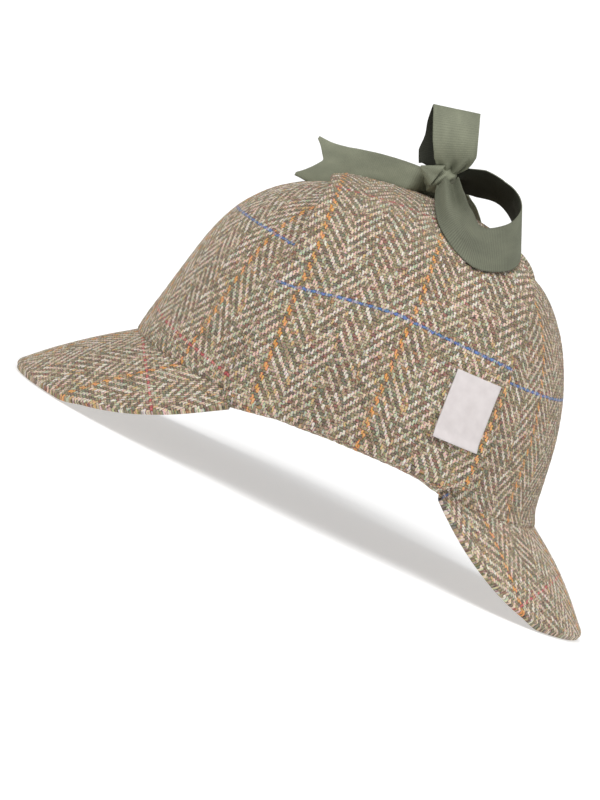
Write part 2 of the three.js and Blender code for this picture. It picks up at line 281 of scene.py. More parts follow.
class Term:
    """A shader value. Arithmetic on it makes Math nodes, so that a pattern reads as a formula."""

    def __init__(self, tree, socket):
        self.tree = tree
        self.socket = socket

    def math(self, operation, *others):
        node = self.tree.nodes.new("ShaderNodeMath")
        node.operation = operation
        for place, value in enumerate((self, *others)):
            if isinstance(value, Term):
                self.tree.links.new(value.socket, node.inputs[place])
            else:
                node.inputs[place].default_value = value
        return Term(self.tree, node.outputs[0])

    def __add__(self, other):
        return self.math("ADD", other)

    def __sub__(self, other):
        return self.math("SUBTRACT", other)

    def __mul__(self, other):
        return self.math("MULTIPLY", other)

    def __truediv__(self, other):
        return self.math("DIVIDE", other)

    def __pow__(self, other):
        return self.math("POWER", other)

    def floor(self):
        return self.math("FLOOR")

    def cycle(self, length):
        """What is left over after whole lengths, never below zero."""
        return self.math("FLOORED_MODULO", length)

    def hump(self):
        """0 at 0 and 1, and 1 in the middle."""
        return (self * math.pi).math("SINE").math("MAXIMUM", 0.0)

    def above(self, other):
        return self.math("GREATER_THAN", other)

    def below(self, other):
        return self.math("LESS_THAN", other)

    def within(self, low, high):
        """0 below low, 1 above high and smooth between."""
        node = self.tree.nodes.new("ShaderNodeMapRange")
        node.interpolation_type = "SMOOTHSTEP"
        node.inputs["From Min"].default_value = low
        node.inputs["From Max"].default_value = high
        self.tree.links.new(self.socket, node.inputs["Value"])
        return Term(self.tree, node.outputs["Result"])

    def between(self, start, end):
        """start where this is 0 and end where it is 1."""
        return (end - start) * self + start


class Shader:
    """A material's node tree, with short names for the nodes that these fabrics use."""

    def __init__(self, name, **settings):
        self.material = bpy.data.materials.new(name)
        self.material.use_nodes = True
        self.tree = self.material.node_tree
        self.surface = self.tree.nodes["Principled BSDF"]
        for socket, value in settings.items():
            self.surface.inputs[socket.replace("_", " ")].default_value = value

    def cloth(self):
        """u and v on the flat cloth, in millimetres."""
        coordinates = self.tree.nodes.new("ShaderNodeUVMap")
        coordinates.uv_map = "cloth"
        split = self.tree.nodes.new("ShaderNodeSeparateXYZ")
        self.tree.links.new(coordinates.outputs["UV"], split.inputs["Vector"])
        return Term(self.tree, split.outputs["X"]), Term(self.tree, split.outputs["Y"])

    def point(self, x, y, z=0.0):
        node = self.tree.nodes.new("ShaderNodeCombineXYZ")
        for place, value in enumerate((x, y, z)):
            if isinstance(value, Term):
                self.tree.links.new(value.socket, node.inputs[place])
            else:
                node.inputs[place].default_value = value
        return node.outputs["Vector"]

    def noise(self, place, scale=1.0, detail=1.0):
        node = self.tree.nodes.new("ShaderNodeTexNoise")
        node.inputs["Scale"].default_value = scale
        node.inputs["Detail"].default_value = detail
        self.tree.links.new(place, node.inputs["Vector"])
        return Term(self.tree, node.outputs["Fac"])

    def speckle(self, place, scale):
        """Fine noise of three separate colours, around the middle grey."""
        node = self.tree.nodes.new("ShaderNodeTexNoise")
        node.inputs["Scale"].default_value = scale
        node.inputs["Detail"].default_value = 2.0
        node.inputs["Roughness"].default_value = 0.7
        self.tree.links.new(place, node.inputs["Vector"])
        return node.outputs["Color"]

    def chance(self, place):
        """An even random number from 0 to 1 for each whole place."""
        node = self.tree.nodes.new("ShaderNodeTexWhiteNoise")
        self.tree.links.new(place, node.inputs["Vector"])
        return Term(self.tree, node.outputs["Value"])

    def ramp(self, value, stops, steps=False):
        node = self.tree.nodes.new("ShaderNodeValToRGB")
        if steps:
            node.color_ramp.interpolation = "CONSTANT"
        elements = node.color_ramp.elements
        while len(elements) < len(stops):
            elements.new(0.5)
        for element, (place, colour) in zip(elements, stops):
            element.position = place
            element.color = colour
        self.tree.links.new(value.socket, node.inputs["Fac"])
        return node.outputs["Color"]

    def yarns(self, colours, place):
        """One of the colours at random for each whole place."""
        stops = [(share, srgb(*colour)) for share, *colour in colours]
        return self.ramp(self.chance(place), stops, steps=True)

    def mix(self, share, under, over, kind="MIX"):
        node = self.tree.nodes.new("ShaderNodeMix")
        node.data_type = "RGBA"
        node.blend_type = kind
        for place, value in (("Factor", share), ("A", under), ("B", over)):
            socket = [s for s in node.inputs if s.name == place and s.enabled][0]
            if isinstance(value, Term):
                self.tree.links.new(value.socket, socket)
            elif isinstance(value, bpy.types.NodeSocket):
                self.tree.links.new(value, socket)
            else:
                socket.default_value = value
        return [s for s in node.outputs if s.enabled][0]

    def grey(self, value):
        """A colour socket that is as bright as a value."""
        return self.point(value, value, value)

    def finish(self, colour, height, depth, rough=None):
        """Joins the colour, the bump, depth metres high, and the roughness to the surface."""
        self.tree.links.new(colour, self.surface.inputs["Base Color"])
        bump = self.tree.nodes.new("ShaderNodeBump")
        bump.inputs["Distance"].default_value = depth
        self.tree.links.new(height.socket, bump.inputs["Height"])
        self.tree.links.new(bump.outputs["Normal"], self.surface.inputs["Normal"])
        if rough is not None:
            self.tree.links.new(rough.socket, self.surface.inputs["Roughness"])
        return self.material


def tweed():
    """Herringbone tweed: pale warp floats on dark weft ones, flecked, with orange, blue and red lines."""
    s = Shader("tweed", Roughness=0.95, Sheen_Weight=0.3, Sheen_Roughness=0.5, Specular_IOR_Level=0.12)
    s.surface.inputs["Sheen Tint"].default_value = srgb(236, 222, 204)
    u, v = s.cloth()

    # The threads wander off their straight lines, slowly and in small shivers.
    slub = s.noise(s.point(u * 0.22, v * 0.22), detail=2.0) - 0.5
    drift = s.noise(s.point(u * 0.22, v * 0.22, 9.0), detail=2.0) - 0.5
    shiver = s.noise(s.point(u * 0.9, v * 0.9, 14.0), detail=2.0) - 0.5
    across = u / END + slub * 0.8 + shiver * 1.6
    up = v / PICK + drift * 0.9 + shiver * -1.3

    # Which warp and weft thread this is, how far across each, and which of them lies on top.
    end, pick = across.floor(), up.floor()
    in_end, in_pick = across - end, up - pick
    odd = (end / COLUMN).floor().cycle(2.0)
    order = odd.between(end, end * -1.0) + pick
    step = order.cycle(TWILL)
    float_number = (order / TWILL).floor()
    weft = step.above(TWILL / 2 - 0.5)

    # Each float is rounded across and dips at its tips, and the weft lies lower than the warp.
    crosswise, tips, weft_low = 0.6, 0.45, 0.8
    warp_place = (in_pick + step) * (2 / TWILL)
    weft_place = (in_end + odd.between(step - TWILL / 2, step * -1.0 + (TWILL - 1))) * (2 / TWILL)
    warp_height = in_end.hump() ** crosswise * warp_place.hump() ** tips
    weft_height = in_pick.hump() ** crosswise * weft_place.hump() ** tips * weft_low
    height = weft.between(warp_height, weft_height)

    # Each float is one stretch of a marled yarn, so each has a colour of its own.
    warp = s.yarns(WARP_YARN, s.point(end, float_number, 1.0))
    filling = s.yarns(WEFT_YARN, s.point(pick, float_number, 2.0))
    yarn = s.mix(weft, warp, filling)
    hair = s.noise(s.point(u * 0.9, v * 0.9, 21.0), detail=4.0).within(0.45, 0.75)
    yarn = s.mix(hair * 0.4 + 0.22, yarn, srgb(172, 157, 138))
    is_warp = weft * -1.0 + 1.0
    orange = end.cycle(float(WARP_LINE)).below(1.5) * is_warp
    yarn = s.mix(orange * 0.78, yarn, srgb(210, 142, 70))

    # Blue and red weft lines take turns. They show less where the warp lies over them.
    row = pick.cycle(float(2 * WEFT_LINE))
    blue = row.below(0.5) * (weft * 0.4 + 0.5)
    red = (row - float(WEFT_LINE)).math("ABSOLUTE").below(0.6) * (weft * 0.6 + 0.15)
    yarn = s.mix(blue, yarn, srgb(88, 119, 170))
    yarn = s.mix(red, yarn, srgb(190, 84, 92))

    # Fibres, painted shade in the gaps between yarns, at the floats' tips and on the low weft, soft patches,
    # and fine flecks of every colour.
    fibre = s.noise(s.point(u * 2.2, v * 2.2), detail=3.0)
    # shade is painted shade from the yarns' height, plus the fibres' own tone.
    shade = height.within(0.0, 0.75) * 0.88 + fibre.within(0.32, 0.68) * 0.5 + 0.09
    cloudy = s.noise(s.point(u * 0.035, v * 0.035, 3.0), detail=2.0) * 0.3 + 0.85
    colour = s.mix(1.0, yarn, s.grey(shade * cloudy), "MULTIPLY")
    colour = s.mix(0.85, colour, s.speckle(s.point(u, v, 33.0), 1.3), "OVERLAY")
    return s.finish(colour, height + fibre * 0.8, 0.0003)


RIB_STEP = 0.88  # from one rib of the ribbon to the next


def grosgrain(name, tone, ribbed):
    """Grey-green ribbon ribbed across its width, tone giving painted light or shade, and more or less plainly
    ribbed.
    """
    s = Shader(name, Sheen_Weight=0.25 * tone, Sheen_Roughness=0.4, Specular_IOR_Level=0.3 * tone)
    s.surface.inputs["Sheen Tint"].default_value = srgb(190, 196, 172)
    u, v = s.cloth()
    rib = (v / RIB_STEP + s.noise(s.point(u * 0.5, v * 0.2), detail=1.0) * 0.3).cycle(1.0).hump()
    wear = s.noise(s.point(u * 0.12, v * 0.05), detail=3.0)
    thread = s.noise(s.point(u * 4.0, v * 1.2), detail=2.0)
    shades = ((0.25, (90, 92, 77)), (0.5, (114, 117, 99)), (0.75, (136, 139, 118)))
    colour = s.ramp(
        rib * (0.12 * ribbed) + wear * 0.54 + thread * 0.36,
        [(place, srgb(*(c * tone for c in shade))) for place, shade in shades],
    )
    return s.finish(colour, rib + thread * 0.6, 0.00007 * ribbed, rib * -0.08 + 0.74)


def label_cloth():
    """Smooth white woven satin, with nothing on it."""
    s = Shader("label_cloth", Sheen_Weight=0.1, Specular_IOR_Level=0.35)
    u, v = s.cloth()
    thread_wide, pick_long, stagger = 0.32, 0.5, 0.4
    thread = (u / thread_wide).cycle(1.0).hump()
    pick = (v / pick_long + (u / thread_wide).floor() * stagger).cycle(1.0).hump()
    tone = s.noise(s.point(u * 0.2, v * 0.2), detail=2.0)
    colour = s.ramp(tone + thread * 0.15, [(0.3, srgb(208, 200, 199)), (0.8, srgb(220, 213, 212))])
    return s.finish(colour, thread * 0.6 + pick * 0.4, 0.00008, tone * 0.1 + 0.5)


TWEED = tweed()
RIBBON = grosgrain("grosgrain", 1.09, 0.7)
# The drooping loop's copy is darker: painted shade.
RIBBON_SHADED = grosgrain("grosgrain_shaded", 0.85, 1.8)
# The copy on the inside of the loops is far darker: painted shade.
RIBBON_PAINTED_SHADE_INSIDE = grosgrain("grosgrain_painted_shade_inside", 0.45, 1.0)
LABEL = label_cloth()


# ---- crown ----
def crown_reach(rise, ahead):
    """How far the crown reaches to the front, or to the back where ahead isn't negative."""
    return np.where(ahead < 0, along(CROWN, "rise", "front", rise), along(CROWN, "rise", "back", rise))


def lift(x):
    """How far the crown's lower edge arches up over the ears."""
    return along(ARCH, "x", "lift", x)


def crown_height(rise, x):
    """The height at a share of the way up the crown. It differs with X, since the rim slopes and arches."""
    share = (x / np.maximum(1 - rise, 0.2) + RIM_FRONT_REACH) / (RIM_FRONT_REACH + RIM_BACK_REACH)
    low = RIM_FRONT + (RIM_BACK - RIM_FRONT) * share
    return low + (CROWN_TOP - low) * rise + lift(x) * (1 - rise) ** 3


def crown_point(turn, rise):
    """A point outside the crown: turn is the angle from the front, towards the left side."""
    ahead = -np.cos(turn)
    x = ahead * crown_reach(rise, ahead)
    return stack(x, -np.sin(turn) * along(CROWN, "rise", "side", rise), crown_height(rise, x))


def even_rises(turn, step):
    """Shares of the crown's height that lie about this far apart along its profile, closer near the rim."""
    fine = 1 - np.linspace(1, 0, 800) ** 1.7
    fine = np.minimum(fine, CROWN_STOP)
    length = arc(crown_point(turn, fine))
    wanted = np.concatenate(([0.0, 0.3, 0.7, 1.2, 1.8], np.arange(2.6, length[-1], step), length[-1:]))
    return np.interp(wanted, length, fine), wanted


CROWN_STOP = 0.9992  # the share of the height where the gores stop, just short of one point
ROUNDER = 1.06  # the crown's mean radius over its radius at the side
DROOP_END = 0.65  # the share of the height above which the cloth's threads are level
SEAM_DIP, RIM_DIP, DIP_WIDE = 1.3, 1.6, 2.4  # how deep and how wide the cloth dips to a seam and to the rim

# Where each gore's orange warp line runs, as an angle from the front, how far up its blue weft line crosses,
# and how much lower, near the rim, the cloth hangs towards the back for each degree past the given turn.
GORE_CLOTH = table(
    "warp weft level droop",
    (41.2, 75.5, 29.2, 0.208),
    (90.0, 66.0, 90.0, 0.0),
    (150.0, 62.0, 150.0, 0.0),
    (213.0, 68.0, 213.0, 0.0),
    (262.0, 66.0, 262.0, 0.0),
    (321.0, 77.0, 330.8, -0.208),
)


def gore(number):
    hidden_under_flap = number in (1, 4)
    step = 2 * GRID if hidden_under_flap else GRID
    start = number * 2 * math.pi / GORES
    turn_step = 2 * math.pi / GORES
    rise, height = even_rises(start + turn_step / 2, step)
    across = positions(GORE_WIDE, step) / GORE_WIDE
    turn = start + turn_step * across
    base = crown_point(turn[None, :], rise[:, None])
    away = normals(base)
    away[0] = unit(away[0] * [1, 1, 0])
    radius = along(CROWN, "rise", "side", rise)[:, None]
    u = (turn[None, :] - math.radians(GORE_CLOTH["warp"][number])) * radius * ROUNDER
    hang = (np.degrees(turn) - GORE_CLOTH["level"][number]) * GORE_CLOTH["droop"][number]
    droop = hang[None, :] * np.maximum(1 - rise / DROOP_END, 0)[:, None]
    v = height[:, None] - GORE_CLOTH["weft"][number] + droop
    seam = np.minimum(turn - start, start + turn_step - turn)[None, :] * radius
    dip = SEAM_DIP * fall_off(seam, DIP_WIDE) + RIM_DIP * fall_off(height[:, None], DIP_WIDE)
    soft = 0.7 * waves(base, 26.0, number) + 0.25 * waves(base, 9.0, number + 40)
    swell = soft * smooth(0, 12, seam) * smooth(0, 12, height[:, None]) * smooth(0, 0.03, 1 - rise)[:, None]
    outer = base + away * (swell - dip + RIB * ribs(u, v) * smooth(0, 3, seam))[..., None]
    inner = base - away * (CROWN_THICK - 0.3 * ribs(u, v)[..., None] * RIB)
    name = f"gore_{number + 1}"
    return solid("tweed_" + name, outer, inner, np.stack((u, v), axis=-1), TWEED, ["crown_" + name])


# ---- earflaps ----
def profile(x):
    """Points up the crown's left side at each x, from the rim to the ridge."""
    # The ridge's share of the height at each x is found by halving.
    low, high = np.zeros_like(x), np.ones_like(x)
    for _ in range(40):
        middle = (low + high) / 2
        inside = crown_reach(middle, x) > np.abs(x)
        low, high = np.where(inside, middle, low), np.where(inside, high, middle)
    rise = high * np.sin(np.linspace(0, math.pi / 2, 400))[:, None]
    share = np.minimum(np.abs(x) / np.maximum(crown_reach(rise, x), 1e-6), 1)
    y = -along(CROWN, "rise", "side", rise) * np.sqrt(1 - share * share)
    return stack(x, y, crown_height(rise, x))


def section(x, ups):
    """The points at each x and share of the way up the crown's side, and how far up they are."""
    points = profile(x)
    length = arc(points)
    wanted = ups * length[-1]
    found = [
        [np.interp(w, length[:, i], points[:, i, k]) for i, w in enumerate(wanted)] for k in range(3)
    ]
    return np.array(found).T, wanted


# The flap's orange warp line lies at this X at each height, and its blue weft line is this far from level.
FLAP_WARP = table("z x", (46, 11.6), (93, 9), (113, 8.4), (133, 6.2), (152, 2.7), (156, 1.5))
FLAP_WEFT = table("x drop", (-53, 12), (-47, 11), (-18, 4), (7, 0), (66, 0))
FLAP_BLUE = 66.5  # arc from the rim to the blue line
# Rows turned under the hem: from 0 to 1 they go a quarter turn round it, and past 1 they lie flat inside.
UNDER = np.array([2.6, 2.2, 1.8, 1.5, 1.25, 1.0, 0.85, 0.7, 0.55, 0.4, 0.26, 0.13])
HEM_ROUND = 3.2  # cloth taken up for each radian of the hem's bend
THIN, THIN_WIDE = 0.94, 2.2  # the share of its thickness that a flap loses at its edges, and over what width


def earflap(side, name, node):
    """A flap folded up from the rim, made on the left, and mirrored for the right side."""
    climb = positions(FLAP_LONG, GRID)
    rows_up = np.concatenate((np.zeros(len(UNDER)), climb / FLAP_LONG))
    around = positions(FLAP_WIDE, GRID) / FLAP_WIDE
    base, u, v = [], [], []
    for k, up in enumerate(rows_up):
        below = UNDER[k] if k < len(UNDER) else 0.0
        edge = FLAP["up"][0] * min(below, 1.0) if below else up
        front, rear = along(FLAP, "up", "front", edge), along(FLAP, "up", "rear", edge)
        x = front + (rear - front) * around
        points, height = section(x, np.full_like(x, up))
        base.append(points)
        u.append(x - along(FLAP_WARP, "z", "x", points[:, 2]))
        v.append(height + lift(x) + along(FLAP_WEFT, "x", "drop", x) - FLAP_BLUE)
    base, u, v = np.array(base), np.array(u), np.array(v)
    first = len(UNDER)
    away = np.zeros_like(base)
    away[first:] = normals(base[first:])
    away[: first + 1] = unit(away[first] * [1, 1, 0])
    bend = np.minimum(UNDER, 1.0) * math.pi / 2
    tuck = np.maximum(UNDER - 1.0, 0) * CROWN_THICK / (UNDER[0] - 1.0)
    across = arc(base, 1)
    across_edge = np.minimum(across, across[:, -1:] - across)
    top_edge = np.concatenate((np.full(first, FLAP_LONG), FLAP_LONG - climb))[:, None]
    edge = np.minimum(across_edge, top_edge)
    soft = 0.8 * waves(base, 30.0, 3 + side) + 0.3 * waves(base, 11.0, 7 + side)
    soft *= smooth(0, 14, edge)
    v[:first] -= (bend * HEM_ROUND + tuck)[:, None]
    v[:first] -= HEM_SKIP * (v[:first] < HEM_CLOTH)
    middle = LOOSE + FLAP_THICK / 2
    half = FLAP_THICK / 2 * (1 - THIN * fall_off(edge, THIN_WIDE))
    faces = []
    for reach in (middle + (half + soft + RIB * ribs(u, v) * smooth(0, 3, edge)), middle - half):
        grid = base + away * reach[..., None]
        low = reach[:first]
        turned = away[:first] * (low * np.cos(bend)[:, None] - tuck[:, None])[..., None]
        turned[..., 2] -= low * np.sin(bend)[:, None]
        grid[:first] = base[:first] + turned
        grid[..., 1] = np.minimum(grid[..., 1], -FLAP_SPLIT)
        grid[..., 1] *= -side
        faces.append(grid)
    return solid(name, faces[0], faces[1], np.stack((u, v), axis=-1), TWEED, [node])


# ---- peaks ----
EAR = 0.06  # radians that each end of a peak goes on past its corner
SEAM_IN, SEAM_UP = 1.3, 0.6  # from the crown's edge to a peak's seam
EAR_IN = 2.5  # how much further in the seam's ends lie
TUCKED_IN, TUCKED_DOWN = 5.5, 4.5  # from the crown's edge to a peak's edge where it is tucked in
EDGE_LOSS, BELOW_LOSS, CORNER_LOSS = 0.42, 0.45, 0.25  # shares of the thickness that its edges lose


def third_corner(a, b, from_a, from_b, way):
    """The third corner of a flat triangle with these sides, to the right of a to b, or to the left for -1."""
    base = np.linalg.norm(b - a)
    ahead = (b - a) / base
    far = (base**2 + from_a**2 - from_b**2) / (2 * base)
    out = math.sqrt(max(from_a**2 - far**2, 0))
    return a + ahead * far + way * out * np.array((ahead[1], -ahead[0]))


def unrolled(inner, outer):
    """The ends of a ruled surface's rulings when it is laid out flat from its middle one."""
    middle = len(inner) // 2
    near, far = np.zeros((len(inner), 2)), np.zeros((len(inner), 2))
    far[middle, 1] = np.linalg.norm(outer[middle] - inner[middle])
    for way, stop in ((1, len(inner)), (-1, -1)):
        for j in range(middle + way, stop, way):
            i = j - way
            sides = [np.linalg.norm(p - q) for p, q in ((inner[j], inner[i]), (inner[j], outer[i]))]
            near[j] = third_corner(near[i], far[i], *sides, way)
            sides = [np.linalg.norm(p - q) for p, q in ((outer[j], inner[j]), (outer[j], outer[i]))]
            far[j] = third_corner(near[j], far[i], *sides, way)
    return near, far


def peak(name, node, side, corner, tip, half, high, fall, sag, full, warp, weft):
    """A stiff peak, ruled from its seam under the crown's edge to its own edge, and a little full between."""
    reach = RIM_FRONT_REACH if side < 0 else RIM_BACK_REACH
    limit = math.acos(corner / reach)
    square = math.pi / 2
    seam_turn = np.linspace(-square - EAR, square + EAR, 900)

    def inside(turn, inset, drop):
        """A point this far in from the crown's edge, and this far below it."""
        a = limit * turn / square
        rim = crown_point(a if side < 0 else math.pi - a, np.zeros_like(turn))
        return rim - unit(rim * [1, 1, 0]) * np.reshape(inset, (-1, 1)) - [0, 0, drop]

    def past(turn):
        """0 along the peak, and 1 at the ends of the ears that tuck in behind the flaps."""
        return np.maximum(np.abs(turn) - square, 0) / EAR

    def seam(turn):
        return inside(turn, SEAM_IN + EAR_IN * past(turn), -SEAM_UP)

    def edge(turn):
        flat = np.clip(turn, -square, square)
        forward = np.cos(flat)
        z = np.maximum(high * (1 - forward) ** fall - sag * forward, 0) + PEAK_THICK * 0.75
        bare = stack(side * (corner + (tip - corner) * forward), -half * np.sin(flat), z)
        tucked = inside(turn, TUCKED_IN, TUCKED_DOWN)
        return bare + (tucked - bare) * smooth(0, 0.7, past(turn))[:, None]

    edge_length = arc(edge(seam_turn))
    places = positions(edge_length[-1], 1.15)
    turn = np.interp(places, edge_length, seam_turn)
    inner, outer = seam(turn), edge(turn)
    ruling = np.linalg.norm(outer - inner, axis=1)
    near_edge = [0.955, 0.967, 0.978, 0.987, 0.994, 0.998, 1.0]
    r = np.concatenate((np.linspace(0, 1, 44)[:-2] * near_edge[0], near_edge))[:, None]
    top = inner + (outer - inner) * r[..., None]
    top[..., 2] += full * np.sin(math.pi * r) * np.cos(turn)
    away = normals(top)
    away *= np.sign(away[..., 2:].mean())
    near, far = unrolled(inner, outer)
    flat = near + (far - near) * r[..., None] - [warp, weft]
    u, v = flat[..., 0], flat[..., 1]
    to_edge = (1 - r) * ruling
    to_corner = np.minimum(places, edge_length[-1] - places)[None, :]
    rounding = fall_off(to_edge, 2.0)
    soft = 0.5 * waves(top, 28.0, 11 + side) * smooth(0, 10, to_edge) * smooth(0, 6, ruling * r)
    rise = soft - PEAK_THICK * EDGE_LOSS * rounding + RIB * ribs(u, v) * smooth(0, 3, to_edge)
    surface = top + away * rise[..., None]
    down = PEAK_THICK * (1 - BELOW_LOSS * rounding) * (1 - CORNER_LOSS * fall_off(to_corner, 3.0))
    bottom = top - away * down[..., None]
    settled = bottom[..., 2]
    bottom[..., 2] = np.maximum(settled * smooth(-0.5, SETTLE, settled), 0)
    return solid(name, surface, bottom, np.stack((u, v), axis=-1), TWEED, [node])


# ---- ribbon ----
RIBBON_WIDE = 24.0
RIBBON_THICK = 0.5

# Each row is a point on the middle of the ribbon, the way across it there, and how wide it is gathered.
LOOP_UPRIGHT = table(
    "x y z ax ay az width",
    (-5, -3.5, 172, 0.9, 0, 0.43, 9),
    (-3.4, -6.5, 176.5, 0.9, 0, 0.43, 14.5),
    (-4.4, -8.8, 181.5, 0.9, 0, 0.43, 20),
    (-7.7, -9.3, 188.5, 0.93, 0, 0.36, 21.5),
    (-11.2, -6, 196.5, 0.96, 0, 0.28, 22.3),
    (-13.2, -2, 201, 0.97, 0, 0.23, 22.7),
    (-13.7, 0.6, 202, 0.97, 0, 0.23, 22.8),
    (-13.7, 3, 200.3, 0.97, 0, 0.22, 22.8),
    (-13, 8, 193, 0.97, 0, 0.22, 22.3),
    (-11.6, 8.8, 186.5, 0.97, 0, 0.22, 21.5),
    (-11.7, 7, 179, 0.97, 0, 0.22, 20.5),
    (-11, 3.5, 173, 0.97, 0, 0.22, 16),
)
LOOP_DROOPING = table(
    "x y z ax ay az width",
    (-3, 1, 171, 0, -0.7, 0.71, 11),
    (3, 1.5, 172.8, 0, -0.72, 0.69, 18),
    (12, 2, 175.2, -0.05, -0.78, 0.62, 23),
    (22, 1.5, 176, -0.12, -0.85, 0.52, 23),
    (32, -5, 171.8, -0.35, -0.5, 0.78, 19),
    (39, -22, 163.6, -0.42, 0.1, 0.9, 23),
    (35.5, -42, 156, -0.38, 0.45, 0.8, 24),
    (23, -51.5, 151, -0.2, 0.62, 0.75, 23.5),
    (9, -43.5, 157.3, 0.45, 0.5, 0.74, 19),
    (0.6, -24, 165.5, 0.85, 0.25, 0.45, 13.5),
    (-3, -8, 170.5, 0.9, 0, 0.43, 10),
)
TAIL_FRONT = table(
    "x y z ax ay az width",
    (-3.5, 1, 163.4, 0, -0.5, 0.87, 17),
    (-18, 6, 162.9, 0, -0.75, 0.66, 22),
    (-30, 13, 161.2, 0, -0.78, 0.62, 23),
    (-42, 17.5, 158.9, 0.02, -0.8, 0.59, 23),
    (-52, 17, 155.6, 0.03, -0.77, 0.62, 24),
    (-60, 14, 151.2, 0.04, -0.5, 0.86, 24),
    (-70, 10.5, 150, 0.05, -0.2, 0.98, 24),
)
TAIL_BACK = table(
    "x y z ax ay az width",
    (-3, 5, 168, 0.98, 0.1, 0.1, 8),
    (1, 14, 167, 0.98, -0.1, -0.05, 13),
    (5, 28, 164, 0.97, -0.2, -0.1, 20),
    (10, 43, 157.5, 0.97, -0.18, -0.14, 23),
    (13, 58, 148.5, 0.97, -0.14, -0.2, 24),
    (14.5, 69, 137, 0.98, -0.08, -0.2, 24),
)
STEP = 0.7  # from one row of a ribbon's mesh to the next
PLEAT_DEEP = 1.7  # how deep the pleats are, over what the spare width alone would give
NOTCH_AT = 0.6  # where across the width a tail's notch is deepest
NOTCH_FROM, NOTCH_TO = 0.04, 0.82  # how far it is cut, as shares of the way from there to a tail's corner
FISHTAIL = 11.0  # how deep the notch is
SLANT = 3.0  # how much shorter the standing tail's upper corner is
LEAN = np.array([0, -0.36, -0.93])  # the way down the part of a ribbon that stands
CREASE = 0.08  # how soft the crease between it and the part that lies down is, as a share of the width


def spline(points, t):
    """Points at t, from 0 to 1, on a centripetal Catmull-Rom curve through the points."""
    ends = np.vstack((2 * points[0] - points[1], points, 2 * points[-1] - points[-2]))
    gaps = np.maximum(np.linalg.norm(np.diff(ends, axis=0), axis=1) ** 0.5, 1e-4)[:, None]
    place = np.clip(t * (len(points) - 1), 0, len(points) - 1 - 1e-9)
    i = place.astype(int)
    w = (place - i)[:, None]
    a, b, c, d = (ends[i + k] for k in range(4))
    before, here, after = (gaps[i + k] for k in range(3))
    leave = ((b - a) / before - (c - a) / (before + here) + (c - b) / here) * here
    arrive = ((c - b) / here - (d - b) / (here + after) + (d - c) / after) * here
    return b + leave * w + (3 * (c - b) - 2 * leave - arrive) * w**2 + (2 * (b - c) + leave + arrive) * w**3


def columns(rows, names):
    return np.stack([rows[name] for name in names.split()], axis=-1)


def turned_up(top, bottom, width, stands, side):
    """Points across a ribbon that stands by this share of its width, and lies down from a soft crease on."""
    crease = top + LEAN * (width * stands)[:, None]
    down = (stands + 1 - side - np.sqrt((stands - 1 + side) ** 2 + CREASE**2)) / 2
    lying = 1 - side - down
    outwards = unit(bottom - crease + [0, 0.1, 0])
    return top + LEAN * (width * down)[:, None] + outwards * (width * lying)[:, None]


def ribbon(name, node, rows, pleats, seed, outside=RIBBON, inside=None, notch=0.0, stands=None):
    """A ribbon along its rows, gathered into soft pleats where they make it narrower than it is cut.

    A loop has a material of its own inside. A tail has a notch, and may stand up by shares of its width that
    go from the first to the second of stands along it.
    """
    fine = spline(columns(rows, "x y z"), np.linspace(0, 1, 600))
    length = arc(fine)
    steps = int(length[-1] / STEP)
    v = np.linspace(0, 1, steps)
    across = np.linspace(0, 1, 33)
    prong = np.abs(across - NOTCH_AT) / np.where(across > NOTCH_AT, 1 - NOTCH_AT, NOTCH_AT)
    cut = np.clip((NOTCH_TO - prong) / (NOTCH_TO - NOTCH_FROM), 0, 1) ** 0.8
    short = notch * cut + (SLANT * smooth(NOTCH_AT, 1, across) if stands else 0)
    share = v[:, None] * (1 - short / length[-1] * smooth(0.6, 1, v)[:, None])
    grid = np.zeros((steps, len(across), 3))
    tangent_steps = 1e-3
    for k, side in enumerate(across):
        t = share[:, k]
        way = unit(spline(columns(rows, "ax ay az"), t))
        ahead = spline(columns(rows, "x y z"), np.minimum(t + tangent_steps, 1))
        behind = spline(columns(rows, "x y z"), np.maximum(t - tangent_steps, 0))
        through = unit(np.cross(unit(ahead - behind), way))
        width = np.interp(t * (len(rows["width"]) - 1), np.arange(len(rows["width"])), rows["width"])
        spare = np.clip(RIBBON_WIDE / width - 1, 0, 2)
        depth = PLEAT_DEEP * np.sqrt(spare) * width / (2 * np.pi * pleats) * smooth(0.1, 0.7, spare)
        fold = depth * np.sin(2 * np.pi * pleats * side + seed)
        middle = spline(columns(rows, "x y z"), t)
        grid[:, k] = middle + way * ((side - 0.5) * width)[:, None]
        if stands:
            half = way * (width / 2)[:, None]
            upright = stands[0] + (stands[1] - stands[0]) * smooth(0.35, 0.85, t)
            bent = turned_up(middle + half, middle - half, width, upright, side)
            grid[:, k] += (bent - grid[:, k]) * smooth(0.02, 0.2, t)[:, None]
        grid[:, k] += through * fold[:, None]
    away = normals(grid)
    u = np.tile((across - 0.5) * RIBBON_WIDE, (steps, 1))
    cloth = np.stack((u, share * length[-1]), axis=-1)
    soft = 0.35 * waves(grid, 12.0, 21 + seed)[..., None]
    top = grid + away * (RIBBON_THICK / 2 + soft)
    bottom = grid - away * (RIBBON_THICK / 2 - soft)
    # The loop's darker inside copy, painted shade, goes on the face that looks in.
    inwards = ((grid.mean(axis=(0, 1)) - grid) * away).sum()
    if inside and inwards > 0:
        top, bottom = bottom, top
    made = solid(name, top, bottom, cloth, outside, [node], inside)
    return made


